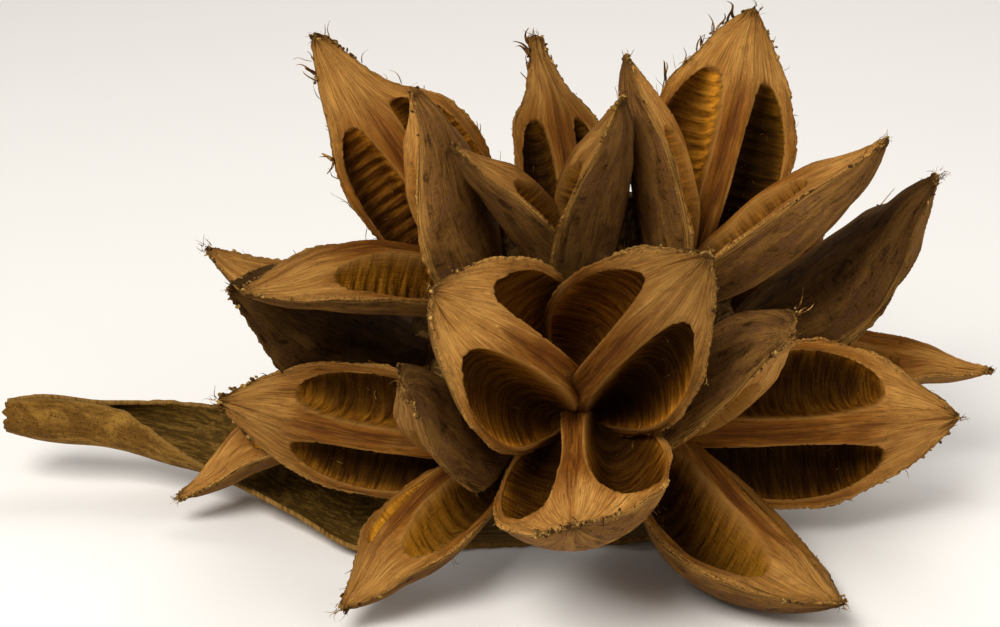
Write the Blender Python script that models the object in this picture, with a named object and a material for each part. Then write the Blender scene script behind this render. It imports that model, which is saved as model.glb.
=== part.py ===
# A dried fruit cluster lying on a flat surface: eight woody capsules, each split into three
# boat-shaped valves, on a short forked axis held in a boat-shaped bract with a rolled tip.
# Metres and +Z up. The surface it lies on is Z = 0, +X is the viewer's right and +Y is away
# from the viewer.

from collections import namedtuple
from math import cos, pi, radians, sin, sqrt

import bmesh
import bpy
from mathutils import Matrix, Vector

MM = 0.001
GAP = 0.0003

# A valve is a boat. Its face is a low roof with a rounded bar along the middle and a seed
# chamber on each side of the bar, and its back is round. Heights are shares of the half width.
RIDGE_SHARE = 0.50
BACK_SHARE = 0.56
WALL = 0.0028
TIP_HALF_WIDTH = 0.0030
TIP_RIDGE = 0.0014
TIP_BACK = 0.0030

# Shares of the valve's length: where the chambers begin and end, how long they take to reach
# their full depth, and where the solid beak begins to dip.
CHAMBER_START = 0.07
CHAMBER_END = 0.72
CHAMBER_EASE = 0.10
BEAK_START = 0.74
BEAK_DIP = 0.0012

# Where the cross-sections stand along the valve, each with its share of the half width.
WIDTH_CURVE = ((0.0, 0.34), (0.08, 0.56), (0.15, 0.72), (0.26, 0.91), (0.40, 1.0), (0.54, 0.99),
               (0.64, 0.92), (0.72, 0.80), (0.82, 0.59), (0.92, 0.34), (1.0, 0.15))

# Columns of a cross-section as shares of the half width, and those that form a chamber's floor.
FACE_COLUMNS = (-1.0, -0.84, -0.78, -0.50, -0.30, -0.17, 0.0, 0.17, 0.30, 0.50, 0.78, 0.84, 1.0)
BACK_COLUMNS = (0.76, 0.42, 0.0, -0.42, -0.76)
FLOOR_FROM = 0.30
FLOOR_TO = 0.78

# The cone that joins three valves ends in a flat foot, and meets a stub of the forked axis.
HUB_RADIUS = 0.0080
HUB_FOOT_RADIUS = 0.0055
HUB_ABOVE = 0.0030
HUB_BELOW = 0.0090
HUB_SIDES = 12
KNOB_CENTRE = Vector((0.028, 0.018, 0.049))
KNOB_SIZE = Vector((0.019, 0.013, 0.013))
KNOB_SIDES = 16
KNOB_RINGS = 10
STUB_RADIUS = 0.0045
STALK_RADIUS = 0.0065
STALK_END = Vector((0.099, 0.034, 0.024))
STALK_ARRIVAL = Vector((0.94, 0.31, -0.10))
ROD_SIDES = 8
ROD_STEPS = 4
ROD_BEND = 0.4

# The bract's cross-sections are arcs that stand along X from the rolled tip to the stalk.
# Each row has X and Y of the arc's lowest point, its height there, its radius, and the angles
# from straight down to the lip nearest the viewer and to the far lip. Millimetres, degrees.
BRACT_THICKNESS = 0.0026
BRACT_COLUMNS = 14
BRACT_ROWS = ((-174, 43, 20, 6.0, 165, -160), (-160, 42, 18, 8.0, 170, -160),
              (-137, 41, 15, 8.5, 165, -155), (-118, 39, 11, 12, 100, -122),
              (-98, 35, 7, 18, 45, -94), (-70, 18, 2.5, 35, 30, -76),
              (-46, 0, -0.8, 49, 24, -68), (-8, -1, -0.8, 54, 10, -68),
              (32, 1, -0.8, 52, 10, -68), (60, 7, 1.5, 40, 22, -76),
              (80, 23, 7, 24, 50, -100), (95, 33, 11, 14, 130, -140))

# Colour, roughness and crease angle of each kind of piece.
SKIN_ROUGHNESS = 0.75
CREASE = 35
AXIS_COLOUR = (0.24, 0.14, 0.06)
BRACT_COLOUR = (0.22, 0.15, 0.05)

Valve = namedtuple("Valve", "heading rise length half_width bow twist kept", defaults=(0, 1.0))
Capsule = namedtuple("Capsule", "hub heading rise valves colour")

# Hubs, lengths, half widths and bows are in millimetres, angles in degrees. A heading of 0
# comes towards the viewer and 90 goes to the viewer's right. The bow is how far the middle of
# a valve stands out of the line from hub to tip, on the side of its face. A twist turns it
# about its length, and kept is the share that is left where its tip has broken away.
CAPSULES = {
    "capsule_front": Capsule((25, -23, 57), -4, 30, (
        Valve(-38, 39, 94, 29, 4, 8), Valve(34, 47, 94, 27, 8, 3), Valve(-3, -1, 88, 28, -10, 14)),
        (0.36, 0.20, 0.08)),
    "capsule_left": Capsule((0, -18, 39), -55, 10, (
        Valve(-105, 4, 98, 22, 4), Valve(-26, 35, 84, 20, 5, 0, 0.95),
        Valve(-42, -22, 79, 20.5, 1, -17)),
        (0.33, 0.19, 0.07)),
    "capsule_right": Capsule((52, -6, 41), 56, 8, (
        Valve(96, 0, 102, 28, 0), Valve(36, 40, 86, 26, -2, 0, 0.94),
        Valve(36, -17, 93, 29, -11, 28)),
        (0.34, 0.19, 0.08)),
    "capsule_upper_left": Capsule((-3, 23, 77), -69, 45, (
        Valve(-102, 56, 104, 22, 7, 40), Valve(-32, 61, 94, 23, 3, -2), Valve(-61, 11, 92, 22, 8, -18)),
        (0.35, 0.20, 0.08)),
    "capsule_top": Capsule((26, 19, 77), -10, 76, (
        Valve(-166, 53, 97, 15, 7, 10), Valve(-42, 48, 90, 18, 6, -6), Valve(14, 61, 94, 21, 4, 32)),
        (0.31, 0.18, 0.08)),
    "capsule_upper_right": Capsule((58, 19, 77), 74, 71, (
        Valve(145, 62, 103, 26, 4), Valve(64, 43, 96, 23, 0), Valve(-42, 73, 94, 20, 5)),
        (0.33, 0.19, 0.09)),
    "capsule_back_left": Capsule((-24, 43, 48), -82, 13, (
        Valve(-115, 17, 94, 18, -3, 70), Valve(-51, 28, 93, 20, 7, 2), Valve(-67, -22, 100, 20, 5, -20)),
        (0.28, 0.17, 0.09)),
    "capsule_back_right": Capsule((79, 42, 55), 88, 28, (
        Valve(58, 44, 101, 24.5, 13, -27), Valve(93, -8, 95, 18, 0), Valve(150, 25, 92, 20, 3)),
        (0.27, 0.17, 0.10)),
}


# Shared helpers

def direction(heading, rise):
    level = cos(radians(rise))
    return Vector((sin(radians(heading)) * level, -cos(radians(heading)) * level, sin(radians(rise))))


def smooth_step(edge, width, value):
    step = min(1.0, max(0.0, (value - edge) / width))
    return step * step * (3 - 2 * step)


def curve_value(curve, share):
    """Value at a share along a row of (share, value) points, on straight runs between them."""
    for (start, low), (end, high) in zip(curve, curve[1:]):
        if share <= end:
            return low + (high - low) * (share - start) / (end - start)
    return curve[-1][1]


def loft(rings):
    """Skin a row of closed rings of points and close both ends."""
    build = bmesh.new()
    rows = [[build.verts.new(point) for point in ring] for ring in rings]
    for row, following in zip(rows, rows[1:]):
        for number in range(len(row)):
            after = (number + 1) % len(row)
            build.faces.new((row[number], row[after], following[after], following[number]))
    build.faces.new(rows[0])
    build.faces.new(rows[-1])
    return build


def add_object(name, build):
    bmesh.ops.triangulate(build, faces=build.faces)
    bmesh.ops.recalc_face_normals(build, faces=build.faces)
    mesh = bpy.data.meshes.new(name)
    build.to_mesh(mesh)
    build.free()
    piece = bpy.data.objects.new(name, mesh)
    bpy.context.collection.objects.link(piece)
    return piece


def unite(piece, others):
    """Join the other solids to a piece with one Boolean on a collection, then remove them."""
    group = bpy.data.collections.new(piece.name + "_repeats")
    for other in others:
        group.objects.link(other)
    join = piece.modifiers.new("join", "BOOLEAN")
    join.operation = "UNION"
    join.operand_type = "COLLECTION"
    join.collection = group
    join.solver = "EXACT"
    graph = bpy.context.evaluated_depsgraph_get()
    joined = bpy.data.meshes.new_from_object(piece.evaluated_get(graph))
    piece.modifiers.clear()
    piece.data = joined
    for other in others:
        bpy.data.objects.remove(other, do_unlink=True)
    bpy.data.collections.remove(group)
    keep_largest_body(piece.data)


def body_around(vertex, waiting):
    """Take a vertex and all that hangs together with it out of the waiting ones."""
    waiting.remove(vertex)
    body = [vertex]
    for member in body:
        for edge in member.link_edges:
            other = edge.other_vert(member)
            if other in waiting:
                waiting.remove(other)
                body.append(other)
    return body


def keep_largest_body(mesh):
    """Drop loose scraps, and the skins of sealed hollows, that a join leaves."""
    build = bmesh.new()
    build.from_mesh(mesh)
    waiting = set(build.verts)
    bodies = []
    while waiting:
        bodies.append(body_around(next(iter(waiting)), waiting))
    bodies.sort(key=len)
    for scrap in bodies[:-1]:
        bmesh.ops.delete(build, geom=scrap, context="VERTS")
    build.to_mesh(mesh)
    build.free()


def finish(piece, colour):
    """Smooth the round surfaces and give the piece its own material."""
    material = bpy.data.materials.new(piece.name + "_skin")
    material.use_nodes = True
    surface = material.node_tree.nodes["Principled BSDF"]
    surface.inputs["Base Color"].default_value = (*colour, 1.0)
    surface.inputs["Roughness"].default_value = SKIN_ROUGHNESS
    surface.inputs["Metallic"].default_value = 0.0
    piece.data.materials.clear()
    piece.data.materials.append(material)
    piece.data.shade_smooth()
    piece.data.set_sharp_from_angle(angle=radians(CREASE))


# Capsules

def arc_height(half_width, depth, across):
    """Height of a round back that is depth below the rims at its middle."""
    radius = (half_width ** 2 + depth ** 2) / (2 * depth)
    return radius - depth - sqrt(radius ** 2 - across ** 2)


def valve_ring(share, half_width):
    """Cross-section as (across, height above the rims), over the face and round the back."""
    wide = max(TIP_HALF_WIDTH, half_width * curve_value(WIDTH_CURVE, share))
    ridge = max(TIP_RIDGE, RIDGE_SHARE * wide)
    back = max(TIP_BACK, BACK_SHARE * wide)
    hollow = smooth_step(CHAMBER_START, CHAMBER_EASE, share)
    hollow *= 1 - smooth_step(CHAMBER_END - CHAMBER_EASE, CHAMBER_EASE, share)
    ring = []
    for column in FACE_COLUMNS:
        height = ridge * (1 - abs(column))
        if FLOOR_FROM <= abs(column) <= FLOOR_TO:
            floor = arc_height(wide, back, column * wide) + WALL
            height += min(0.0, floor - height) * hollow
        ring.append((column * wide, height))
    for column in BACK_COLUMNS:
        ring.append((column * wide, arc_height(wide, back, column * wide)))
    return ring


def middle_line(share, bow):
    """Height of the valve's middle line over the straight line from its hub to its tip."""
    beak = max(0.0, (share - BEAK_START) / (1 - BEAK_START))
    return bow * sin(pi * share) - BEAK_DIP * sin(pi * beak)


def add_valve(name, hub, axis, valve):
    along = direction(valve.heading, valve.rise)
    facing = (axis - along * axis.dot(along)).normalized()
    facing.rotate(Matrix.Rotation(radians(valve.twist), 3, along))
    across = along.cross(facing)
    shares = [share for share, wide in WIDTH_CURVE if share < valve.kept] + [valve.kept]
    rings = []
    for share in shares:
        centre = hub + along * (share * valve.length * MM)
        centre += facing * middle_line(share, valve.bow * MM)
        rings.append([centre + across * side + facing * height
                      for side, height in valve_ring(share, valve.half_width * MM)])
    return add_object(name, loft(rings))


def add_hub(name, hub, axis):
    """A short cone under the valves that ends in a flat foot."""
    build = bmesh.new()
    bmesh.ops.create_cone(build, cap_ends=True, segments=HUB_SIDES, radius1=HUB_FOOT_RADIUS,
                          radius2=HUB_RADIUS, depth=HUB_ABOVE + HUB_BELOW)
    middle = hub + axis * (HUB_ABOVE - HUB_BELOW) / 2
    turn = axis.to_track_quat("Z", "Y").to_matrix().to_4x4()
    build.transform(Matrix.Translation(middle) @ turn)
    return add_object(name, build)


def add_capsule(name, capsule):
    hub = Vector(capsule.hub) * MM
    axis = direction(capsule.heading, capsule.rise)
    piece = add_hub(name, hub, axis)
    valves = [add_valve(f"{name}_valve_{number}", hub, axis, valve)
              for number, valve in enumerate(capsule.valves)]
    unite(piece, valves)
    finish(piece, capsule.colour)


# Forked axis with its cut stalk

def add_rod(name, end, arrival, radius):
    """A bent rod from the knob's centre that arrives at its flat end along a direction."""
    turn_point = end - arrival * ((end - KNOB_CENTRE).length * ROD_BEND)
    rings = []
    for step in range(ROD_STEPS + 1):
        share = step / ROD_STEPS
        first = KNOB_CENTRE.lerp(turn_point, share)
        second = turn_point.lerp(end, share)
        turn = (second - first).to_track_quat("Z", "Y")
        centre = first.lerp(second, share)
        angles = [2 * pi * side / ROD_SIDES for side in range(ROD_SIDES)]
        rings.append([centre + turn @ Vector((radius * cos(angle), radius * sin(angle), 0.0))
                      for angle in angles])
    return add_object(name, loft(rings))


def add_fruit_axis():
    build = bmesh.new()
    bmesh.ops.create_uvsphere(build, u_segments=KNOB_SIDES, v_segments=KNOB_RINGS, radius=1.0)
    build.transform(Matrix.Translation(KNOB_CENTRE) @ Matrix.Diagonal((*KNOB_SIZE, 1.0)))
    knob = add_object("fruit_axis", build)
    rods = [add_rod("stalk", STALK_END, STALK_ARRIVAL.normalized(), STALK_RADIUS)]
    for name, capsule in CAPSULES.items():
        axis = direction(capsule.heading, capsule.rise)
        foot = Vector(capsule.hub) * MM - axis * (HUB_BELOW + GAP)
        rods.append(add_rod(f"stub_{name}", foot, axis, STUB_RADIUS))
    unite(knob, rods)
    finish(knob, AXIS_COLOUR)


# Bract

def bract_arc(row, inset):
    """Points of one arc from the near lip to the far lip, flat where it would go below Z = 0."""
    x, y, lift, radius, near, far = row
    reach = radius * MM - inset
    points = []
    for column in range(BRACT_COLUMNS):
        angle = radians(near + (far - near) * column / (BRACT_COLUMNS - 1))
        height = (lift + radius) * MM - reach * cos(angle)
        points.append(Vector((x * MM, y * MM - reach * sin(angle), max(0.0, height))))
    return points


def add_bract():
    rings = [bract_arc(row, 0.0) + bract_arc(row, BRACT_THICKNESS)[::-1] for row in BRACT_ROWS]
    bract = add_object("bract", loft(rings))
    finish(bract, BRACT_COLOUR)


def main():
    for piece in list(bpy.data.objects):
        bpy.data.objects.remove(piece, do_unlink=True)
    for name, capsule in CAPSULES.items():
        add_capsule(name, capsule)
    add_fruit_axis()
    add_bract()


main()
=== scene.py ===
import math
import random

import bmesh
import bpy
from mathutils import Matrix, Vector, noise


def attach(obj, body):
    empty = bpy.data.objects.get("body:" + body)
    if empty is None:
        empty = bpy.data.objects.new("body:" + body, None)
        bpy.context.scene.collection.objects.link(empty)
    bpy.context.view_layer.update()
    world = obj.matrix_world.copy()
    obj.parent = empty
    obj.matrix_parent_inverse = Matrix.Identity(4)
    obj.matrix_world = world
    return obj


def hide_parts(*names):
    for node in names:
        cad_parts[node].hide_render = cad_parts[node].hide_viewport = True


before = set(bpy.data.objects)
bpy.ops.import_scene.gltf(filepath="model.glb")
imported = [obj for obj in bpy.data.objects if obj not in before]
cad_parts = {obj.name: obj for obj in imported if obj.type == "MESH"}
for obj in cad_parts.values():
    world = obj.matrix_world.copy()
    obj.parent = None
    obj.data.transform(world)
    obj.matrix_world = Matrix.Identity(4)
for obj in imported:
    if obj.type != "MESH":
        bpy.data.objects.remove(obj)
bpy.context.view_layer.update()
mm = 0.001
print("frame loaded:", len(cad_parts), "nodes")


# view, floor and light

view = {"target": (0.0, -0.009, 0.083), "distance": 0.760, "tilt": 20.0, "lens": 85.0}


def setCamera():
    tilt = math.radians(view["tilt"])
    camera = bpy.data.objects.new("camera", bpy.data.cameras.new("camera"))
    camera.data.lens = view["lens"]
    camera.data.sensor_width = 36.0
    camera.data.clip_start = 0.01
    back = Vector((0.0, -math.cos(tilt), math.sin(tilt))) * view["distance"]
    camera.location = Vector(view["target"]) + back
    camera.rotation_euler = (math.pi / 2 - tilt, 0.0, 0.0)
    bpy.context.scene.collection.objects.link(camera)
    bpy.context.scene.camera = camera


studio = {
    "floorSize": 6.0,
    "floorColour": (0.93, 0.925, 0.915, 1.0),
    "roomColour": (1.0, 0.94, 0.86, 1.0),
    "roomStrength": 0.30,
    # name: place, size, watts, colour
    "lamps": {
        "keyLamp": ((-0.55, -0.95, 1.25), 0.8, 25.0, (1.0, 0.96, 0.90)),
        "fillLamp": ((1.1, -0.8, 0.75), 1.0, 6.0, (1.0, 0.97, 0.93)),
        "backLamp": ((0.3, 1.1, 1.3), 0.9, 7.0, (1.0, 0.98, 0.96)),
    },
    "aim": (0.0, 0.0, 0.06),
}


def setStudio():
    build = bmesh.new()
    bmesh.ops.create_grid(build, x_segments=1, y_segments=1, size=studio["floorSize"] / 2)
    mesh = bpy.data.meshes.new("floor")
    build.to_mesh(mesh)
    build.free()
    floor = bpy.data.objects.new("floor", mesh)
    bpy.context.scene.collection.objects.link(floor)
    paper = bpy.data.materials.new("floorPaper")
    paper.use_nodes = True
    shader = paper.node_tree.nodes["Principled BSDF"]
    shader.inputs["Base Color"].default_value = studio["floorColour"]
    shader.inputs["Roughness"].default_value = 0.9
    mesh.materials.append(paper)
    world = bpy.data.worlds.new("room")
    world.use_nodes = True
    world.node_tree.nodes["Background"].inputs["Color"].default_value = studio["roomColour"]
    world.node_tree.nodes["Background"].inputs["Strength"].default_value = studio["roomStrength"]
    bpy.context.scene.world = world
    for name, (place, size, watts, colour) in studio["lamps"].items():
        lamp = bpy.data.lights.new(name, "AREA")
        lamp.size = size
        lamp.energy = watts
        lamp.color = colour
        stand = bpy.data.objects.new(name, lamp)
        stand.location = place
        stand.rotation_euler = (Vector(studio["aim"]) - Vector(place)).to_track_quat("-Z", "Y").to_euler()
        bpy.context.scene.collection.objects.link(stand)
    bpy.context.scene.view_settings.view_transform = "Standard"


# a wire is a socket that takes part in Python expressions

class Wire:
    def __init__(self, finish, socket):
        self.finish = finish
        self.socket = socket

    def sum(self, operation, first, second, clamp=False):
        return self.finish.node("ShaderNodeMath", {"operation": operation, "use_clamp": clamp},
                                {0: first, 1: second})

    def __add__(self, other):
        return self.sum("ADD", self, other)

    __radd__ = __add__

    def __sub__(self, other):
        return self.sum("SUBTRACT", self, other)

    def __rsub__(self, other):
        return self.sum("SUBTRACT", other, self)

    def __mul__(self, other):
        return self.sum("MULTIPLY", self, other)

    __rmul__ = __mul__

    def held(self):
        return self.sum("ADD", self, 0.0, clamp=True)


finishForm = {"specular": 0.03}  # dry wood has next to no gloss


class Finish:
    def __init__(self, name):
        self.material = bpy.data.materials.new(name)
        self.material.use_nodes = True
        self.tree = self.material.node_tree
        self.shader = self.tree.nodes["Principled BSDF"]
        self.shader.inputs["Specular IOR Level"].default_value = finishForm["specular"]

    def node(self, kind, settings=None, sockets=None, output=0):
        made = self.tree.nodes.new(kind)
        for key, value in (settings or {}).items():
            setattr(made, key, value)
        for key, value in (sockets or {}).items():
            self.feed(made.inputs[key], value)
        return Wire(self, made.outputs[output])

    def feed(self, socket, value):
        if isinstance(value, Wire):
            self.tree.links.new(value.socket, socket)
        elif isinstance(value, tuple) and len(value) == 3 and socket.type == "RGBA":
            socket.default_value = (*value, 1.0)
        else:
            socket.default_value = value

    def blend(self, share, first, second, mode="MIX"):
        settings = {"data_type": "RGBA", "blend_type": mode, "clamp_factor": True}
        return self.node("ShaderNodeMix", settings, {0: share, 6: first, 7: second}, output=2)

    def stretched(self, vector, scale, shift=(0.0, 0.0, 0.0)):
        return self.node("ShaderNodeMapping", None, {"Vector": vector, "Scale": scale, "Location": shift})

    def cloud(self, vector, scale, detail=3.0, roughness=0.55, bend=0.0):
        sockets = {"Vector": vector, "Scale": scale, "Detail": detail, "Roughness": roughness,
                   "Distortion": bend}
        return self.node("ShaderNodeTexNoise", None, sockets)

    def between(self, value, low, high, start=0.0, end=1.0):
        settings = {"interpolation_type": "SMOOTHSTEP"}
        sockets = {"Value": value, "From Min": low, "From Max": high, "To Min": start, "To Max": end}
        return self.node("ShaderNodeMapRange", settings, sockets)

    def attribute(self, name, output="Vector"):
        return self.node("ShaderNodeAttribute", {"attribute_name": name}, output=output)

    def parts(self, vector):
        first = self.node("ShaderNodeSeparateXYZ", None, {0: vector})
        return [Wire(self, output) for output in first.socket.node.outputs]

    def wear(self, colour, roughness, height, strength, distance):
        self.feed(self.shader.inputs["Base Color"], colour)
        self.feed(self.shader.inputs["Roughness"], roughness)
        sockets = {"Strength": strength, "Distance": distance, "Height": height}
        bump = self.node("ShaderNodeBump", None, sockets)
        self.feed(self.shader.inputs["Normal"], bump)


valveTints = {
    "beak": (0.34, 0.155, 0.034),
    "beakLight": (0.52, 0.27, 0.066),
    "face": (0.170, 0.058, 0.007),
    "faceLight": (0.30, 0.115, 0.014),
    "faceDark": (0.040, 0.014, 0.003),
    "faceRed": (0.160, 0.046, 0.012),
    "barMiddle": (0.075, 0.022, 0.006),
    "chamber": (0.210, 0.070, 0.005),
    "chamberPaintedLight": (0.50, 0.205, 0.016),
    "chamberDark": (0.020, 0.006, 0.001),
    "paintedShineThrough": (1.0, 0.46, 0.035),
    "outside": (0.135, 0.059, 0.014),
    "outsideLight": (0.240, 0.115, 0.026),
    "outsideDark": (0.040, 0.018, 0.006),
    "outsideViolet": (0.115, 0.050, 0.024),
    "strip": (0.310, 0.160, 0.034),
    "stripDark": (0.090, 0.040, 0.010),
    "edge": (0.46, 0.235, 0.055),
    "edgeDark": (0.030, 0.014, 0.004),
}


def makeValveWood(name, tints):
    wood = Finish(name)
    grain = wood.attribute("grain")
    hollow, outside, edge = wood.parts(wood.attribute("zone"))
    depth, crest, toneAndShade = wood.parts(wood.attribute("toneAndShade"))
    share, away, tipness = wood.parts(wood.attribute("place"))
    glow, bar, lip = wood.parts(wood.attribute("kind"))
    # lengthwise fibres: fine, medium and broad streaks, then specks and slow clouds
    fine = wood.cloud(wood.stretched(grain, (1.0, 1.0, 0.04)), 2.8, 4.0, 0.62)
    streak = wood.cloud(wood.stretched(grain, (1.0, 1.0, 0.05)), 1.1, 4.0, 0.6, 0.5)
    broad = wood.cloud(wood.stretched(grain, (1.0, 1.0, 0.30)), 0.16, 3.0, 0.55, 0.5)
    speck = wood.cloud(grain, 1.7, 5.0, 0.7)
    cloudy = wood.cloud(wood.stretched(grain, (1.0, 1.0, 0.8)), 0.24, 4.0, 0.62, 0.8)
    fibre = (fine * 0.55 + streak * 0.45)
    # face: a pale beak and a redder, darker bar and rims; the darkening towards the hub is partly the
    # wood's own colour and partly painted shade
    paleBeakHubShade = (wood.between(share, 0.58, 0.86) + wood.between(broad, 0.55, 0.70) * 0.35).held()
    face = wood.blend(paleBeakHubShade, tints["face"], tints["beak"])
    light = wood.blend(paleBeakHubShade, tints["faceLight"], tints["beakLight"])
    face = wood.blend(wood.between(broad, 0.40, 0.62) * 0.6, face, light)
    face = wood.blend(wood.between(streak, 0.52, 0.62) * 0.45, face, tints["faceRed"])
    face = wood.blend(wood.between(fine, 0.50, 0.38) * 0.38, face, tints["faceDark"])
    face = wood.blend(wood.between(fine, 0.53, 0.66) * 0.65, face, light)
    face = wood.blend(wood.between(streak, 0.39, 0.34) * 0.55, face, tints["faceDark"])
    face = wood.blend(wood.between(cloudy, 0.52, 0.64) * 0.30, face, tints["outside"])
    # the face takes the outside colour in cloudy patches towards its rims
    rimwardPatches = wood.between(away, 0.68, 0.95) * wood.between(cloudy, 0.42, 0.58) * 0.45
    face = wood.blend(rimwardPatches, face, tints["outside"])
    face = wood.blend(bar * wood.between(streak, 0.36, 0.56) * 0.75, face, tints["barMiddle"])
    face = wood.blend(lip * 0.55, face, tints["edge"])
    # chamber: orange ribs over a brown floor, with painted highlights on rib crests, painted light through
    # thin walls, and painted shade in rib valleys, in the depths and near the hub
    crossways = wood.cloud(wood.stretched(grain, (0.12, 0.12, 1.0)), 0.9, 4.0, 0.62)
    # painted highlight on the rib crests, in patches
    ribPaintedHighlight = wood.between(crossways, 0.42, 0.66) * wood.between(crest, 0.0, 0.9, 0.45)
    inside = wood.blend(ribPaintedHighlight, tints["chamber"], tints["chamberPaintedLight"])
    # painted light shining through thin walls towards the tip: a glow with no lamp
    inside = wood.blend(glow, inside, tints["paintedShineThrough"])
    # painted shade in the rib valleys, in patches
    ribShade = wood.between(crest, 0.5, 0.0) * wood.between(crossways, 0.62, 0.44) * 0.60
    inside = wood.blend(ribShade, inside, tints["chamberDark"])
    inside = wood.blend(wood.between(speck, 0.50, 0.66) * 0.45, inside, tints["chamberDark"])
    inside = wood.blend(wood.between(crossways, 0.44, 0.34) * 0.6, inside, tints["chamberDark"])
    # painted shade growing with the chamber's depth
    paintedDepthShade = wood.between(depth, 0.45, 0.90) * 0.72 * (1.0 - glow * 0.8)
    inside = wood.blend(paintedDepthShade, inside, tints["chamberDark"])
    # painted shade towards the hub end of the chamber
    inside = wood.blend(wood.between(share, 0.44, 0.10) * 0.75, inside, tints["chamberDark"])
    # outside: velvety clouds with some violet, and fine fibres
    fuzz = wood.cloud(wood.stretched(grain, (0.22, 0.22, 1.6)), 1.8, 3.0, 0.6)
    back = wood.blend(wood.between(cloudy, 0.32, 0.52), tints["outsideDark"], tints["outside"])
    back = wood.blend(wood.between(broad, 0.44, 0.62) * 0.85, back, tints["outsideLight"])
    back = wood.blend(wood.between(cloudy, 0.52, 0.60) * 0.6, back, tints["outsideViolet"])
    back = wood.blend(wood.between(fine, 0.47, 0.36) * 0.45, back, tints["outsideDark"])
    back = wood.blend(wood.between(fuzz, 0.54, 0.66) * 0.35, back, tints["outsideLight"])
    back = wood.blend(wood.between(streak, 0.39, 0.34) * 0.6, back, tints["outsideDark"])
    back = wood.blend(wood.between(speck, 0.53, 0.66) * 0.5, back, tints["outsideDark"])
    back = wood.blend(wood.between(speck, 0.45, 0.36) * 0.35, back, tints["outsideLight"])
    strip = wood.blend(wood.between(fine, 0.40, 0.60), tints["stripDark"], tints["strip"])
    strip = wood.blend(wood.between(streak, 0.44, 0.36) * 0.8, strip, tints["outsideDark"])
    back = wood.blend(wood.between(edge, 0.004, 0.06) * 0.9, back, strip)
    skin = wood.blend(hollow, face, inside)
    skin = wood.blend(outside, skin, back)
    skin = wood.blend(edge * wood.between(streak, 0.42, 0.56) * 0.8, skin, tints["edge"])
    skin = wood.blend(edge * wood.between(speck, 0.50, 0.58) * 0.85, skin, tints["edgeDark"])
    tipShade = wood.between(tipness, 0.55, 1.0) * wood.between(speck, 0.46, 0.56) * 0.7
    skin = wood.blend(tipShade, skin, tints["edgeDark"])
    # multiply by the tone mark: each valve's tone, partly painted light and shade, with the painted light
    # and shade across its chambers
    bright = wood.node("ShaderNodeCombineXYZ", None, {0: toneAndShade, 1: toneAndShade, 2: toneAndShade})
    skin = wood.blend(1.0, skin, bright, "MULTIPLY")
    roughness = wood.between(fibre, 0.3, 0.7, 0.78, 0.52)
    height = fine * 0.8 + streak * 1.1 + speck * 0.45
    wood.wear(skin, roughness, height, 0.75, 0.0006)
    return wood.material


# three boat-shaped valves on each capsule's cone, as in the solid model; lengths in millimetres
valveForm = {
    "ridge": 0.50, "back": 0.56, "wall": 2.0, "beakDip": 1.2, "beakStart": 0.74,
    "bar": 0.19, "barGroove": 0.14, "valley": 0.16, "suture": 1.2, "grooves": 0.20, "groovePitch": 2.3,
    "tipHalf": 1.2, "tipRidge": 1.0, "tipBack": 1.6,
    "chamberStart": 0.04, "chamberEnd": 0.735, "chamberMiddle": 0.54, "chamberHalf": 0.352,
    "ribPitch": 4.2, "ribShrink": 0.11, "undercutIn": 0.30, "undercutOut": 0.10,
    "widths": ((0.0, 0.34), (0.08, 0.56), (0.15, 0.72), (0.26, 0.91), (0.40, 1.0), (0.54, 0.99),
               (0.64, 0.92), (0.72, 0.80), (0.82, 0.59), (0.92, 0.31), (0.97, 0.14), (1.0, 0.03)),
    # how far fibres, slow waves and torn wood move the face, and the same for the rim
    "threadLift": 0.42, "waveLift": 0.9, "tornLift": 1.4, "rimLift": 0.6,
    "rimWave": 1.5, "rimTorn": 0.6, "rimNick": 0.4,
    "rimColumns": 9, "chamberColumns": 20, "barColumns": 12, "backColumns": 32,
    "rows": 104,
}

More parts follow.
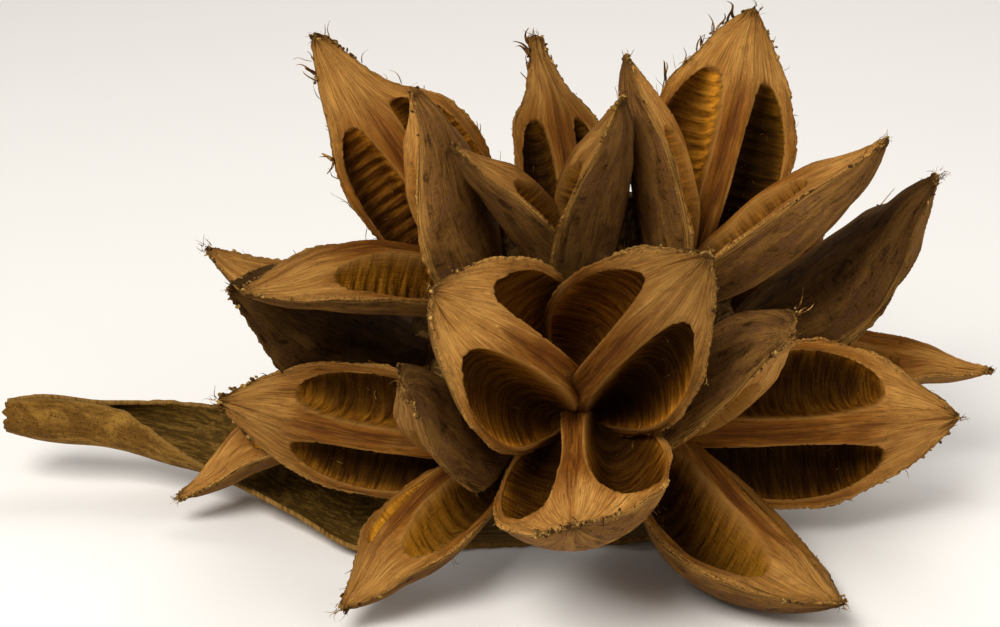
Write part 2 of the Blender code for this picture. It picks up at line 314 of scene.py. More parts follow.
# what sets single valves apart: the chambers' end and half width, the strength of their ribs, how
# far light shines through their walls, the light in each chamber from rim to bar on both sides, how
# much the beak narrows and how wide the body is on each side, the half width of a blunt tip, and
# how far the beak reaches
valveTraits = {
    ("capsule_front", 0): {
        "end": 0.775, "half": 0.37, "ribs": 0.3, "shade": ((0.5, 1.4, 1.8), (2.0, 0.8, 0.6))},
    ("capsule_front", 1): {
        "end": 0.78, "half": 0.368, "ribs": 0.3, "shade": ((3.0, 0.7, 0.5), (1.1, 1.6, 2.2))},
    ("capsule_front", 2): {
        "end": 0.71, "half": 0.40, "ribs": 0.2, "shade": ((0.6, 0.5, 0.5), (1.0, 0.6, 0.5))},
    ("capsule_left", 0): {
        "end": 0.70, "half": 0.345, "glow": 0.12, "ribs": 0.8, "tip": 2.6,
        "shade": ((0.45, 0.6, 0.9), (0.7, 0.42, 0.35))},
    ("capsule_left", 1): {"tip": 4.5},
    ("capsule_left", 2): {
        "end": 0.68, "glow": 0.9, "cut": (0.2, 0.2), "shade": ((1.2, 0.6, 0.6), (1.2, 0.6, 0.6))},
    ("capsule_right", 0): {
        "half": 0.365, "ribs": 0.3, "shade": ((0.4, 0.25, 0.4), (0.7, 0.42, 0.5))},
    ("capsule_right", 1): {"tip": 6.0},
    ("capsule_right", 2): {
        "end": 0.75, "glow": 0.5, "shade": ((1.0, 0.35, 0.5), (1.0, 0.35, 0.5))},
    ("capsule_upper_left", 0): {
        "end": 0.71, "cut": (0.34, 0.12), "wide": (1.2, 1.0), "ribs": 1.1, "reach": 1.02,
        "shade": ((1.2, 0.5, 1.3), (0.3, 1.15, 1.6))},
    ("capsule_upper_left", 1): {"cut": (0.28, 0.28), "wide": (1.25, 1.0)},
    ("capsule_upper_left", 2): {"end": 0.70, "glow": 0.25, "ribs": 0.8},
    ("capsule_top", 0): {
        "end": 0.64, "half": 0.29, "cut": (0.34, 0.34), "wide": (1.12, 1.12), "tip": 3.6,
        "shade": ((0.25, 0.25, 0.3), (0.25, 0.25, 0.3))},
    ("capsule_top", 1): {"cut": (0.1, 0.1)},
    ("capsule_top", 2): {"wide": (1.2, 1.2)},
    ("capsule_upper_right", 0): {
        "end": 0.76, "glow": 0.3, "ribs": 0.9, "shade": ((0.3, 0.2, 0.25), (0.3, 0.6, 1.5))},
    ("capsule_upper_right", 1): {
        "end": 0.72, "half": 0.32, "wide": (1.12, 1.12), "shade": ((0.5, 0.4, 0.5), (0.5, 0.4, 0.5))},
    ("capsule_upper_right", 2): {"wide": (1.12, 1.12)},
    ("capsule_back_left", 0): {"cut": (0.2, 0.2)},
    ("capsule_back_left", 1): {"wide": (1.1, 1.1)},
    ("capsule_back_left", 2): {"end": 0.70, "glow": 1.0, "cut": (0.35, 0.35)},
    ("capsule_back_right", 0): {"cut": (0.25, 0.25), "tip": 3.4},
    ("capsule_back_right", 1): {"end": 0.61, "half": 0.27, "cut": (0.35, 0.35), "glow": 0.2},
}

# hub, heading and rise of the axis, then for each valve heading, rise, length, half width, bow,
# twist, kept share and tone, a brightness that is partly the valve's own colour and partly painted light
# and shade: millimetres and degrees
capsules = {
    "capsule_front": ((25, -23, 57), -4, 30, (
        (-38, 39, 94, 29, 4, 8, 1.0, 1.15),
        (34, 47, 94, 27, 8, 3, 1.0, 0.72),
        (-3, -1, 88, 28, -10, 14, 1.0, 1.4))),
    "capsule_left": ((0, -18, 39), -55, 10, (
        (-105, 4, 98, 22, 4, 0, 1.0, 0.88),
        (-26, 35, 84, 20, 5, 0, 0.95, 0.75),
        (-42, -22, 79, 20.5, 1, -17, 1.0, 1.05))),
    "capsule_right": ((52, -6, 41), 56, 8, (
        (96, 0, 102, 28, 0, 0, 1.0, 1.18),
        (36, 40, 86, 26, -2, 0, 0.94, 1.05),
        (36, -17, 93, 29, -11, 28, 1.0, 0.95))),
    "capsule_upper_left": ((-3, 23, 77), -69, 45, (
        (-102, 56, 104, 22, 7, 40, 1.0, 1.08),
        (-32, 61, 94, 23, 3, -2, 1.0, 1.4),
        (-61, 11, 92, 22, 8, -18, 1.0, 0.92))),
    "capsule_top": ((26, 19, 77), -10, 76, (
        (-166, 53, 97, 15, 7, 10, 1.0, 0.85),
        (-42, 48, 90, 18, 6, -6, 1.0, 1.0),
        (14, 61, 94, 21, 4, 32, 1.0, 0.85))),
    "capsule_upper_right": ((58, 19, 77), 74, 71, (
        (145, 62, 103, 26, 4, 0, 1.0, 1.15),
        (64, 43, 96, 23, 0, 0, 1.0, 1.2),
        (-42, 73, 94, 20, 5, 0, 1.0, 1.4))),
    "capsule_back_left": ((-24, 43, 48), -82, 13, (
        (-115, 17, 94, 18, -3, 70, 1.0, 1.0),
        (-51, 28, 93, 20, 7, 2, 1.0, 0.42),
        (-67, -22, 100, 20, 5, -20, 1.0, 1.2))),
    "capsule_back_right": ((79, 42, 55), 88, 28, (
        (58, 44, 101, 24.5, 13, -27, 1.0, 0.6),
        (93, -8, 95, 18, 0, 0, 1.0, 1.45),
        (150, 25, 92, 20, 3, 0, 1.0, 0.7))),
}
markNames = ("grain", "zone", "toneAndShade", "place", "kind")


def direction(heading, rise):
    level = math.cos(math.radians(rise))
    side = math.radians(heading)
    return Vector((math.sin(side) * level, -math.cos(side) * level, math.sin(math.radians(rise))))


def smoothStep(low, high, value):
    step = min(1.0, max(0.0, (value - low) / (high - low)))  # falls where high is below low
    return step * step * (3 - 2 * step)


def curveAt(points, share):
    # smooth curve through (share, value) points
    share = min(points[-1][0], max(points[0][0], share))
    for number in range(len(points) - 1):
        (start, low), (end, high) = points[number], points[number + 1]
        if share <= end:
            before = points[max(0, number - 1)]
            after = points[min(len(points) - 1, number + 2)]
            slopeLow = (high - before[1]) / (end - before[0])
            slopeHigh = (after[1] - low) / (after[0] - start)
            run = end - start
            t = (share - start) / run
            return ((2 * t ** 3 - 3 * t ** 2 + 1) * low + (t ** 3 - 2 * t ** 2 + t) * run * slopeLow
                    + (3 * t ** 2 - 2 * t ** 3) * high + (t ** 3 - t ** 2) * run * slopeHigh)
    return points[-1][1]


def arcHeight(half, depth, across):
    radius = (half * half + depth * depth) / (2 * depth)
    return radius - depth - math.sqrt(max(0.0, radius * radius - across * across))


def roofHeight(ridge, away):
    # the face is a low roof with a rounded bar along its top
    bar = valveForm["bar"]
    if away >= bar:
        return ridge * (1 - away - valveForm["valley"] * math.sin(math.pi * (away - bar) / (1 - bar)))
    crest = 0.15 * math.sqrt(1 - (away / bar) ** 2)
    return ridge * (1 - bar + crest - valveForm["barGroove"] * math.exp(-(away / bar / 0.42) ** 2))


def wrapSkin(build, rows, turns, place):
    # a closed skin: a ball whose rings are moved onto a shape, with a pole at each end
    ball = bmesh.ops.create_uvsphere(build, u_segments=turns, v_segments=rows, radius=1.0)["verts"]
    layers = [build.verts.layers.float_vector[name] for name in markNames]
    for vert in ball:
        step = round(math.acos(max(-1.0, min(1.0, vert.co.z))) / math.pi * rows)
        turn = round(math.atan2(vert.co.y, vert.co.x) / (2 * math.pi) * turns) % turns
        spot, marks = place(step, turn)
        vert.co = spot * mm
        for layer, mark in zip(layers, marks):
            vert[layer] = mark


def startBuild():
    build = bmesh.new()
    for name in markNames:
        build.verts.layers.float_vector.new(name)
    return build


def valveRow(share, length, half, kept, seed, traits):
    form = valveForm
    wide = max(traits.get("tip", form["tipHalf"]), half * curveAt(form["widths"], share))
    close = 1.0
    if share > kept - 0.02:
        close = math.sqrt(max(0.0, 1 - ((share - kept + 0.02) / 0.02) ** 2))
    run = (share - form["chamberStart"]) / (traits.get("end", form["chamberEnd"]) - form["chamberStart"])
    opening = 0.0
    if 0.0 < run < 1.0:
        opening = (1 - abs(2 * run ** 1.12 - 1) ** 2.35) ** 0.5
    wobble = noise.noise(Vector((share * 5, seed, 3.1)))
    ribs = 0.5 - 0.5 * math.cos(2 * math.pi * share * length / form["ribPitch"] + 2.5 * wobble)
    narrow = smoothStep(0.60, 0.80, share) * (1 - 0.6 * smoothStep(0.88, 1.0, share))
    body = smoothStep(0.86, 0.62, share)
    sides = [(1 + (side - 1) * body) * (1 - cut * narrow)
             for side, cut in zip(traits.get("wide", (1, 1)), traits.get("cut", (0, 0)))]
    return {
        "share": share, "wide": wide, "close": close, "opening": opening, "sides": sides,
        "ribs": ribs ** 0.8 * traits.get("ribs", 0.55),
        "ridge": max(form["tipRidge"], form["ridge"] * wide),
        "chamberHalf": traits.get("half", form["chamberHalf"]),
        "back": max(form["tipBack"], form["back"] * wide),
        # painted glow of light through the thin wall, growing towards the tip
        "glow": traits.get("glow", 0.0) * max(0.0, run) ** 2,
    }


def valveColumns():
    form = valveForm
    side = []
    for zone in ("rim", "chamber", "bar"):
        count = form[zone + "Columns"]
        side += [(zone, step / count) for step in range(count)]
    columns = [(zone, part, 1) for zone, part in side] + [("bar", 1.0, 1)]
    columns += [(zone, part, -1) for zone, part in reversed(side[1:])]
    backs = form["backColumns"]
    return columns + [("back", step / backs, 0) for step in range(backs)]


def valvePoint(row, column):
    # across and height in millimetres, then hollow, outside, edge, depth and lip marks
    zone, part, side = column
    form = valveForm
    wide, ridge, back, opening = row["wide"], row["ridge"], row["back"], row["opening"]
    if zone == "back":
        across = -math.cos(math.pi * part)
        near = 1 - min(part, 1 - part) * 7
        return across * wide, arcHeight(wide, back, across * wide), 0.0, 1.0, max(0.0, near), 0.0, 0.0
    half = 0.07 + (row["chamberHalf"] - 0.07) * opening
    middle = form["chamberMiddle"] - 0.03 * row["share"]
    outer, inner = middle + half, middle - half
    if zone == "rim":
        away = 1 - (1 - outer) * part
        rise = 0.05 * math.sin(math.pi * min(1.0, part * 1.1)) ** 0.6
        rise -= 0.03 * math.exp(-((part - 0.4) / 0.16) ** 2)
        lip = opening * smoothStep(0.70, 1.0, part)
        height = roofHeight(ridge, away) + rise * wide * opening
        return side * away * wide, height, 0.0, 0.0, 1 - part, 0.0, lip
    if zone == "bar":
        away = inner * (1 - part)
        lip = opening * smoothStep(0.22, 0.0, part)
        return side * away * wide, roofHeight(ridge, away), 0.0, 0.0, 0.0, 0.0, lip
    turn = math.pi * part
    sink = math.sin(turn)
    under = form["undercutIn"] if turn > math.pi / 2 else form["undercutOut"]
    shrink = 1 - form["ribShrink"] * row["ribs"] * min(1.0, sink * 1.6)
    away = middle + half * math.cos(turn) * (1 + under * sink ** 0.8 * opening) * (1 - 1.6 * (1 - shrink))
    top = roofHeight(ridge, max(0.0, min(1.0, away)))
    floor = arcHeight(wide, back, min(0.97, abs(away)) * wide) + form["wall"]
    mask = min(1.0, sink) ** 0.5 * min(1.0, opening * 1.15) ** 0.8
    height = top + min(0.0, floor - top) * mask * shrink
    hollow = smoothStep(0.10, 0.30, mask)
    return side * away * wide, height, hollow, 0.0, 0.0, mask, (1 - hollow) * min(1.0, opening * 3)


def addValve(build, seed, hub, axis, values, traits):
    heading, rise, length, half, bow, twist, kept, toneAndShade = values
    form = valveForm
    along = direction(heading, rise)
    facing = (axis - along * axis.dot(along)).normalized()
    facing.rotate(Matrix.Rotation(math.radians(twist), 3, along))
    across = along.cross(facing)
    rows = form["rows"]
    columns = valveColumns()
    rings = [valveRow(kept * step / rows, length, half, kept, seed, traits) for step in range(rows + 1)]
    tipSpot = hub + along * (kept * length)
    reach = traits.get("reach", 1.0)
    rims, floors = [], []

    def place(step, turn):
        row = rings[step]
        share = row["share"]
        if step in (0, rows):
            x, y, hollow, outside, edge, depth, lip = 0.0, 0.0, 0.0, 0.0, 0.0, 0.0, 0.0
        else:
            x, y, hollow, outside, edge, depth, lip = valvePoint(row, columns[turn])
        fan = Vector((x / row["wide"] * 22 + seed, y / row["wide"] * 22, share * length + seed * 9))
        # fibre grooves, slow waves, ragged edges and a torn tip
        thread = noise.noise(Vector((fan.x * 0.8, fan.y * 0.8, fan.z * 0.05)))
        wave = noise.noise(Vector((fan.x * 0.12, fan.y * 0.12, fan.z * 0.06)))
        torn = noise.noise(fan * 0.55)
        nick = noise.noise(Vector((seed, 1 if x > 0 else 4, fan.z * 0.9)))
        tipness = smoothStep(kept - 0.12, kept, share)
        away = abs(x) / row["wide"]
        if outside:
            ragged = 0.5 * torn + form["rimWave"] * wave + form["rimNick"] * nick
            push = 1 + 0.03 * wave + (0.3 * thread + 1.1 * torn * tipness + ragged * edge) / row["wide"]
            x, y = x * push, y * push
        else:
            groove = form["grooves"] * math.sin(2 * math.pi * fan.x / form["groovePitch"] + 5 * wave)
            lift = form["threadLift"] * thread + form["waveLift"] * wave + form["tornLift"] * torn * tipness
            lift += form["rimLift"] * torn * edge ** 3 + groove * (1 - hollow)
            lift -= form["suture"] * math.exp(-(x / 0.7) ** 2) * smoothStep(0.78, 0.92, share)
            y += lift * (1 - 0.6 * depth)
            ragged = form["rimWave"] * wave + form["rimTorn"] * torn + form["rimNick"] * nick
            x += edge ** 2 * ragged * (1 if x > 0 else -1)
        zone, part, side = columns[turn]
        # each valve's tone, partly painted light and shade, times painted light and shade across each
        # chamber from rim to bar
        shade = toneAndShade
        if zone == "chamber" and "shade" in traits:
            low, centre, high = traits["shade"][0 if side > 0 else 1]
            light = ((0.0, low), (0.18, low), (0.5, centre), (0.85, high), (1.0, high))
            shade *= 1 + hollow * (curveAt(light, part) - 1)
        x *= row["sides"][0 if x > 0 else 1]
        beak = max(0.0, (share - form["beakStart"]) / (1 - form["beakStart"]))
        middle = bow * math.sin(math.pi * share) - form["beakDip"] * math.sin(math.pi * min(1.0, beak))
        spot = hub + along * (share * length * (1 + (reach - 1) * beak))
        spot += across * (x * row["close"]) + facing * (y * row["close"] + middle)
        barMark = 0.0
        if not (outside or hollow):
            barMark = math.exp(-(away / 0.10) ** 2) * smoothStep(0.98, 0.55, share)
        if edge == 1.0 and 0.3 < share:
            rims.append((spot, share, across * (1 if x > 0 else -1), along))
        if depth > 0.9 and 0.12 < share < 0.62:
            floors.append((spot, share, facing, along))
        marks = (fan, Vector((hollow, outside, edge ** 3)), Vector((depth, 1 - row["ribs"], shade)),
                 Vector((share / kept, away, tipness)), Vector((row["glow"], barMark, lip)))
        return spot, marks

    wrapSkin(build, rows, len(columns), place)
    return {"tip": tipSpot - along * 0.8, "along": along, "rims": rims, "floors": floors}


coneForm = {"rows": 14, "turns": 24, "below": 9.0, "height": 12.0, "foot": 5.5, "flare": 2.5, "rough": 0.06}


def addCapsule(name, wood):
    form = coneForm
    hub, heading, rise, valves = capsules[name]
    hub = Vector(hub)
    axis = direction(heading, rise)
    build = startBuild()

    def place(step, turn):
        angle = turn / form["turns"] * 2 * math.pi
        share = min(1.0, max(0.0, (step - 1) / (form["rows"] - 2)))
        radius = 0.0 if step in (0, form["rows"]) else form["foot"] + form["flare"] * share
        side = axis.orthogonal().normalized()
        other = axis.cross(side)
        bump = noise.noise(Vector((math.cos(angle) * 2, math.sin(angle) * 2, hub.x + share)))
        spot = hub + axis * (-form["below"] + form["height"] * share)
        spot += (side * math.cos(angle) + other * math.sin(angle)) * radius * (1 + form["rough"] * bump)
        marks = (Vector((angle * 6, hub.x, share * 12)), Vector((0, 0.7, 0)), Vector((0, 0, 0.7)),
                 Vector((0.1, 0.5, 0)), Vector((0, 0, 0)))
        return spot, marks

    wrapSkin(build, form["rows"], form["turns"], place)
    tips = {}
    for number, values in enumerate(valves):
        seed = 7.3 * (1 + number) + 31.7 * list(capsules).index(name)
        traits = valveTraits.get((name, number), {})
        tips[(name, number)] = addValve(build, seed, hub, axis, values, traits)
    bmesh.ops.recalc_face_normals(build, faces=build.faces)
    finishPiece(build, name + "_valves", wood, (name,))
    return tips


# crumbs and loose fibres on tips, rims and chamber floors
litterForm = {
    "crumbs": 12, "crumbSize": (0.25, 0.8), "tipFibres": 5, "tipFibreLength": (2.0, 6.0),
    "rimFibres": 3, "rimFibreLength": (1.2, 4.5), "floorFibres": 9, "floorFibreLength": (3.0, 9.0),
    "fibreRadius": (0.09, 0.20), "fibreSteps": 9, "twigLength": (4.0, 12.0), "twigRadius": (0.25, 0.75),
    "tipShare": 0.86, "looseTimes": 4, "seed": 11,
}

# dark, middle and light
litterTints = {
    "crumb": ((0.045, 0.020, 0.006), (0.16, 0.085, 0.022), (0.46, 0.28, 0.075)),
    "fibre": ((0.035, 0.015, 0.004), (0.13, 0.055, 0.012), (0.42, 0.25, 0.07)),
}

# extra litter on single valves: (capsule, valve): (crumbs, tip fibres, rim fibres, longest rim fibre)
litterExtras = {
    ("capsule_upper_left", 0): (14, 8, 26, 11.0), ("capsule_left", 0): (26, 12, 6, 5.0),
    ("capsule_left", 1): (30, 10, 8, 4.0), ("capsule_left", 2): (8, 12, 4, 5.0),
    ("capsule_right", 0): (4, 2, 10, 5.0), ("capsule_right", 1): (26, 14, 14, 4.0),
    ("capsule_right", 2): (8, 12, 4, 5.0), ("capsule_back_left", 0): (6, 12, 4, 7.0),
    ("capsule_back_left", 2): (22, 10, 8, 5.0), ("capsule_back_right", 0): (20, 22, 12, 6.0),
    ("capsule_top", 0): (20, 14, 8, 5.0), ("capsule_upper_right", 0): (6, 3, 18, 9.0),
    ("capsule_front", 1): (16, 8, 10, 4.0), ("capsule_front", 2): (90, 8, 10, 3.0),
    ("capsule_front", 0): (12, 4, 10, 3.0),
}

# valves whose chambers hold many loose fibres
looseChambers = (("capsule_right", 2), ("capsule_left", 2), ("capsule_upper_right", 0))

# twigs of bark along a rim: side to the left or right, range of share and count
barkTwigs = {
    ("capsule_upper_right", 0): (-1, 0.60, 0.95, 16), ("capsule_back_right", 0): (1, 0.60, 0.76, 6),
    ("capsule_top", 0): (-1, 0.80, 0.98, 8), ("capsule_upper_left", 0): (-1, 0.62, 0.92, 8),
    ("capsule_right", 1): (1, 0.80, 0.94, 5),
}


def makeLitter(name, dark, middle, light):
    bits = Finish(name)
    spot = bits.node("ShaderNodeTexCoord", None, None, output=3)
    patch = bits.cloud(spot, 420.0, 2.0, 0.6)
    colour = bits.blend(bits.between(patch, 0.40, 0.52), dark, middle)
    colour = bits.blend(bits.between(patch, 0.54, 0.64), colour, light)
    bits.wear(colour, 0.7, patch, 0.2, 0.0002)
    return bits.material


def addFibre(build, draw, root, heading, length, radius):
    # a thin thread that curls as it goes
    steps = litterForm["fibreSteps"]
    side = heading.orthogonal().normalized()
    side.rotate(Matrix.Rotation(draw.uniform(0, 6.28), 3, heading))
    other = heading.cross(side)
    bend, curl = draw.uniform(-0.5, 0.5), draw.uniform(0.05, 0.22)
    phase = draw.uniform(0, 6.28)
    turns = draw.uniform(2.0, 5.0)

    def middle(part):
        swing = curl * length * part
        return (root + heading * (length * part * (1 - 0.3 * part))
                + side * (bend * length * part * part)
                + other * (swing * math.sin(turns * part + phase) - swing * math.sin(phase))
                + side * (swing * math.cos(turns * part + phase)))

    def place(step, turn):
        part = step / steps
        angle = turn / 4 * 2 * math.pi
        thick = radius * (1 - 0.7 * part) * (0.0 if step in (0, steps) else 1.0)
        spot = middle(part) + side * (math.cos(angle) * thick) + other * (math.sin(angle) * thick)
        return spot, [Vector()] * len(markNames)

    wrapSkin(build, steps, 4, place)


def addCrumb(build, draw, spot, along):
    low, high = litterForm["crumbSize"]
    shape = [draw.uniform(low, high) for axis in range(3)]
    turn = along.to_track_quat("Z", "Y").to_matrix().to_4x4()
    turn = turn @ Matrix.Rotation(draw.uniform(-0.8, 0.8), 4, "X")
    size = Matrix.Diagonal((shape[0] * mm, shape[1] * mm, shape[2] * 1.6 * mm, 1.0))
    place = Matrix.Translation(spot * mm) @ turn @ size
    bmesh.ops.create_icosphere(build, subdivisions=1, radius=1.0, matrix=place)


def addLitter(valves, crumbSkin, fibreSkin):
    form = litterForm
    draw = random.Random(form["seed"])
    crumbs, fibres = startBuild(), startBuild()

    def scatter(reach):
        return Vector([draw.gauss(0, reach) for axis in range(3)])

    def thread(root, heading, lengths, radius=None):
        radius = radius or draw.uniform(*form["fibreRadius"])
        length = draw.uniform(*lengths)
        addFibre(fibres, draw, root, heading.normalized(), length, radius)

    for key, valve in valves.items():
        moreCrumbs, moreTips, moreRims, longest = litterExtras.get(key, (0, 0, 0, 0.0))
        tip, along = valve["tip"], valve["along"]
        edges = [rim for rim in valve["rims"] if rim[1] > form["tipShare"]]
        for number in range(form["crumbs"] + moreCrumbs):
            spot = draw.choice(edges)[0] if edges and number % 3 else tip
            addCrumb(crumbs, draw, spot + scatter(0.35), along)
        for number in range(form["tipFibres"] + moreTips):
            thread(tip + scatter(0.9), along + scatter(0.75), form["tipFibreLength"])
        for number in range(form["rimFibres"] + moreRims):
            spot, share, outward, tangent = draw.choice(valve["rims"])
            low, high = form["rimFibreLength"]
            lean = tangent * draw.choice((-1, 1, 1)) + outward * draw.uniform(0.0, 0.9) + scatter(0.25)
            thread(spot, lean, (low, max(high, longest) if number >= form["rimFibres"] else high))
        if valve["floors"]:
            count = form["floorFibres"] * (form["looseTimes"] if key in looseChambers else 1)
            for number in range(count):
                spot, share, facing, tangent = draw.choice(valve["floors"])
                root = spot + facing * draw.uniform(0.3, 2.5)
                thread(root, tangent + scatter(0.7), form["floorFibreLength"])
    for key, (sign, low, high, count) in barkTwigs.items():
        near = [rim for rim in valves[key]["rims"] if low < rim[1] < high and rim[2].x * sign > 0]
        for number in range(count):
            spot, share, outward, tangent = draw.choice(near)
            lean = tangent * draw.choice((-1.0, 1.0, 1.0))
            lean = lean + outward * draw.uniform(0.05, 0.4) + scatter(0.12)
            thread(spot - outward * 0.4, lean, form["twigLength"], draw.uniform(*form["twigRadius"]))
    bmesh.ops.recalc_face_normals(crumbs, faces=crumbs.faces)
    bmesh.ops.recalc_face_normals(fibres, faces=fibres.faces)
    finishPiece(crumbs, "tip_crumbs", crumbSkin, ())
    finishPiece(fibres, "loose_fibres", fibreSkin, ())


def finishPiece(build, name, material, nodes):
    mesh = bpy.data.meshes.new(name)
    build.to_mesh(mesh)
    build.free()
    mesh.shade_smooth()
    mesh.materials.append(material)
    piece = bpy.data.objects.new(name, mesh)
    bpy.context.scene.collection.objects.link(piece)
    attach(piece, "root")
    for node in nodes:
        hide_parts(node)
    return piece


# bract: arcs along X from the rolled tip to the stalk, as in the solid model
bractForm = {
    # x: y of the lowest point, height there, radius, and the angles of the near and far lips
    "rows": ((-174, 43, 20, 6.0, 165, -160), (-160, 42, 18, 8.0, 170, -160), (-137, 41, 15, 8.5, 165, -155),
             (-118, 39, 11, 12, 100, -122), (-98, 35, 7, 18, 45, -94), (-70, 18, 2.5, 35, 30, -76),
             (-46, 0, -0.8, 49, 24, -68), (-8, -1, -0.8, 54, 10, -68), (32, 1, -0.8, 52, 10, -68),
             (60, 7, 1.5, 40, 22, -76), (80, 23, 7, 24, 50, -100), (95, 33, 11, 14, 130, -140)),
    "thickness": 1.7, "steps": 150, "columns": 64, "ribPitch": 2.1, "ribHeight": 0.22,
}

bractTints = {
    "outside": (0.135, 0.062, 0.010), "outsideLight": (0.30, 0.155, 0.028),
    "outsideDark": (0.030, 0.014, 0.004),
    "inside": (0.080, 0.042, 0.008), "insideLight": (0.200, 0.110, 0.020), "edge": (0.26, 0.14, 0.036),
}


def makeBractSkin(name, tints):
    skin = Finish(name)
    grain = skin.attribute("grain")
    outside, rib, edge = skin.parts(skin.attribute("zone"))
    fine = skin.cloud(skin.stretched(grain, (1.0, 1.0, 0.04)), 2.2, 4.0, 0.65)
    streak = skin.cloud(skin.stretched(grain, (1.0, 1.0, 0.08)), 0.5, 4.0, 0.6, 0.6)
    patch = skin.cloud(skin.stretched(grain, (1.0, 1.0, 0.5)), 0.10, 5.0, 0.65, 0.6)
    speck = skin.cloud(grain, 0.9, 5.0, 0.75)
    shell = skin.blend(skin.between(patch, 0.42, 0.62), tints["outside"], tints["outsideLight"])
    shell = skin.blend(skin.between(fine, 0.48, 0.32) * 0.7, shell, tints["outsideDark"])
    shell = skin.blend(skin.between(speck, 0.52, 0.64) * 0.7, shell, tints["outsideDark"])
    lining = skin.blend(skin.between(streak, 0.42, 0.62), tints["inside"], tints["insideLight"])
    # painted shade in the valleys between the lining's ribs
    lining = skin.blend(skin.between(rib, 0.45, 0.0) * 0.6, lining, tints["outsideDark"])
    lining = skin.blend(skin.between(fine, 0.48, 0.34) * 0.5, lining, tints["outsideDark"])
    colour = skin.blend(outside, lining, shell)
    colour = skin.blend(edge * skin.between(speck, 0.40, 0.56), colour, tints["edge"])
    roughness = skin.between(fine, 0.3, 0.7, 0.70, 0.46)
    skin.wear(colour, roughness, fine * 0.6 + streak * 0.9 + speck * 0.5, 0.7, 0.0007)
    return skin.material


def bractArc(part):
    # place along X, then the arc's lowest point, height, radius and lip angles there
    rows = bractForm["rows"]
    x = rows[0][0] + (rows[-1][0] - rows[0][0]) * part
    return x, [curveAt([(row[0], row[field]) for row in rows], x) for field in range(1, 6)]


def bractSpot(part, turn, inset):
    form = bractForm
    x, (y, lift, radius, near, far) = bractArc(part)
    lip = min(turn, 1 - turn)
    tear = noise.noise(Vector((x * 0.22, 5 if turn < 0.5 else 9, 1)))
    tear += 0.5 * noise.noise(Vector((x * 0.7, 2, 5 if turn < 0.5 else 9)))
    angle = near + (far - near) * turn
    angle += (1 if turn < 0.5 else -1) * 60 / radius * tear * max(0.0, 1 - lip * 12)
    around = math.radians(angle) * radius
    rib = 0.5 + 0.5 * math.cos(2 * math.pi * around / form["ribPitch"])
    wave = noise.noise(Vector((x * 0.035, around * 0.05, 4)))
    reach = radius - inset - form["ribHeight"] * (1 - rib) + 1.2 * wave * smoothStep(0.03, 0.2, lip)
    height = max(inset * 0.9, lift + radius - reach * math.cos(math.radians(angle)))
    ragged = (noise.noise(Vector((around * 0.5, 3, 7))) + 0.6) * 2.0
    x += (ragged if part < 0.5 else -ragged) * max(0.0, 1 - min(part, 1 - part) * 60)
    return Vector((x, y - reach * math.sin(math.radians(angle)), height)) * mm


def addBract(material):
    form = bractForm
    build = startBuild()
    sizes = {"x_segments": form["steps"], "y_segments": form["columns"], "size": 1.0}
    grid = bmesh.ops.create_grid(build, **sizes)["verts"]
    grain, zone, place = [build.verts.layers.float_vector[name] for name in ("grain", "zone", "place")]
    for vert in grid:
        part, turn = (vert.co.x + 1) / 2, (vert.co.y + 1) / 2
        x, (y, lift, radius, near, far) = bractArc(part)
        around = math.radians(near + (far - near) * turn) * radius
        rib = 0.5 + 0.5 * math.cos(2 * math.pi * around / form["ribPitch"])
        vert.co = bractSpot(part, turn, 0.0)
        vert[grain] = Vector((around, radius, x))
        vert[zone] = Vector((1.0, rib, max(0.0, 1 - min(turn, 1 - turn) * 25)))
        vert[place] = Vector((part, turn, 0.0))
    sheet = build.faces[:]
    shell = bmesh.ops.extrude_face_region(build, geom=sheet, use_keep_orig=True)
    for vert in shell["geom"]:
        if isinstance(vert, bmesh.types.BMVert):
            spot = vert[place]
            vert.co = bractSpot(spot.x, spot.y, form["thickness"])
            vert[zone].x = 0.0
    bmesh.ops.recalc_face_normals(build, faces=build.faces)
    return finishPiece(build, "bract_shell", material, ("bract",))


# fruit axis: a knob and bent rods that end under each capsule's cone, as in the solid model, and
# dry husk scales that stand in the gaps between the capsules' feet
axisForm = {
    "knob": (28, 18, 49), "knobSize": (19, 13, 13), "knobTurns": 24,
    "stalkEnd": (99, 34, 24), "stalkArrival": (0.94, 0.31, -0.10),
    "stubRadius": 4.4, "stalkRadius": 6.4, "bend": 0.4, "hubBelow": 9.3, "steps": 40, "turns": 20,
    # end and radius of each husk scale
    "scales": (((42, 27, 112), 8.5), ((2, 24, 98), 6.5), ((77, 31, 71), 7.0),
               ((-26, 10, 76), 8.0), ((-22, 0, 58), 5.5)),
}

axisTints = {"base": (0.085, 0.042, 0.012), "light": (0.22, 0.12, 0.035), "dark": (0.018, 0.009, 0.004)}


def makeAxisBark(name, tints):
    bark = Finish(name)
    grain = bark.attribute("grain")
    fine = bark.cloud(bark.stretched(grain, (1.0, 1.0, 0.15)), 1.6, 4.0, 0.65)
    patch = bark.cloud(grain, 0.35, 4.0, 0.65)
    colour = bark.blend(bark.between(patch, 0.42, 0.62), tints["base"], tints["light"])
    colour = bark.blend(bark.between(fine, 0.50, 0.38) * 0.8, colour, tints["dark"])
    bark.wear(colour, 0.75, fine + patch, 0.8, 0.0010)
    return bark.material


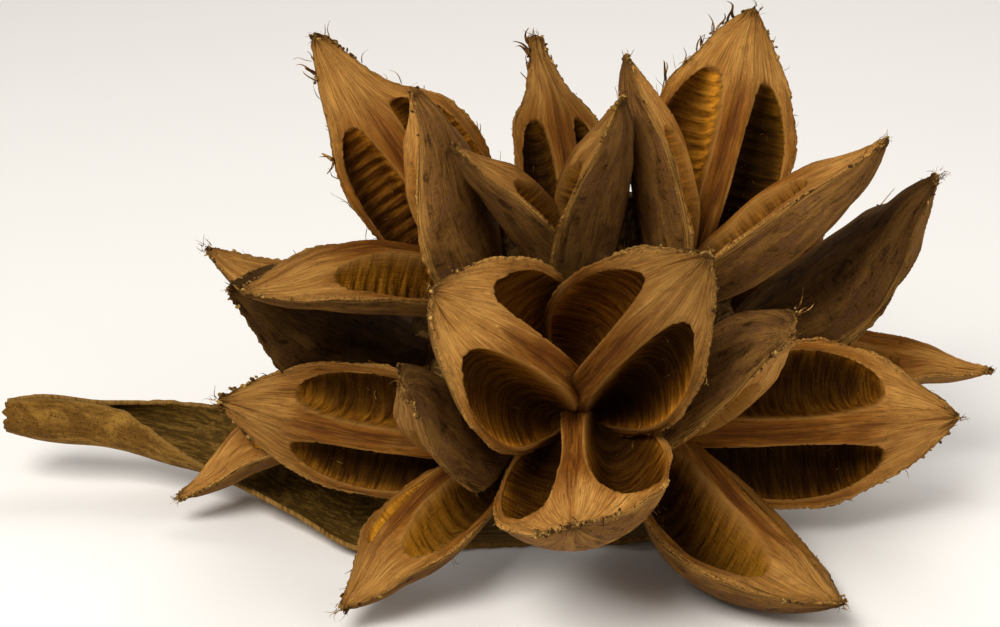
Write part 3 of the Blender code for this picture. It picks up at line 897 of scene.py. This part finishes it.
def addAxis(material):
    form = axisForm
    knob = Vector(form["knob"])
    build = startBuild()
    quiet = [Vector()] * (len(markNames) - 1)

    def knobPlace(step, turn):
        height, angle = math.pi * step / form["steps"], 2 * math.pi * turn / form["knobTurns"]
        level = math.sin(height)
        reach = Vector((level * math.cos(angle), level * math.sin(angle), math.cos(height)))
        reach *= 1 + 0.10 * noise.noise(reach * 3)
        spot = knob + Vector([part * size for part, size in zip(reach, form["knobSize"])])
        return spot, [Vector((angle * 12, 3, height * 12))] + quiet

    wrapSkin(build, form["steps"], form["knobTurns"], knobPlace)
    ends = [(Vector(form["stalkEnd"]), Vector(form["stalkArrival"]).normalized(), form["stalkRadius"])]
    for hub, heading, rise, valves in capsules.values():
        axis = direction(heading, rise)
        ends.append((Vector(hub) - axis * form["hubBelow"], axis, form["stubRadius"]))
    for end, radius in form["scales"]:
        ends.append((Vector(end), (Vector(end) - knob).normalized(), radius))
    for number, (end, arrival, radius) in enumerate(ends):
        bendPoint = end - arrival * ((end - knob).length * form["bend"])

        def rodPlace(step, turn):
            part = min(1.0, max(0.0, (step - 1) / (form["steps"] - 2)))
            first, second = knob.lerp(bendPoint, part), bendPoint.lerp(end, part)
            side = (second - first).to_track_quat("Z", "Y")
            angle = 2 * math.pi * turn / form["turns"]
            bump = noise.noise(Vector((math.cos(angle) * 2, math.sin(angle) * 2 + number, part * 6)))
            thick = 0.0 if step in (0, form["steps"]) else radius * (1 + 0.14 * bump)
            circle = Vector((math.cos(angle) * thick, math.sin(angle) * thick, 0.0))
            spot = first.lerp(second, part) + side @ circle
            return spot, [Vector((angle * radius, number * 7, part * 45))] + quiet

        wrapSkin(build, form["steps"], form["turns"], rodPlace)
    bmesh.ops.recalc_face_normals(build, faces=build.faces)
    finishPiece(build, "axis_core", material, ("fruit_axis",))


setCamera()
setStudio()
print("view, floor and light are set")
valveWood = makeValveWood("valveWood", valveTints)
tips = {}
for capsuleName in capsules:
    tips.update(addCapsule(capsuleName, valveWood))
    print("made", capsuleName)
addBract(makeBractSkin("bractSkin", bractTints))
print("made the bract")
addAxis(makeAxisBark("axisBark", axisTints))
print("made the fruit axis")
crumbSkin = makeLitter("crumbSkin", *litterTints["crumb"])
fibreSkin = makeLitter("fibreSkin", *litterTints["fibre"])
addLitter(tips, crumbSkin, fibreSkin)
print("made the crumbs and fibres")
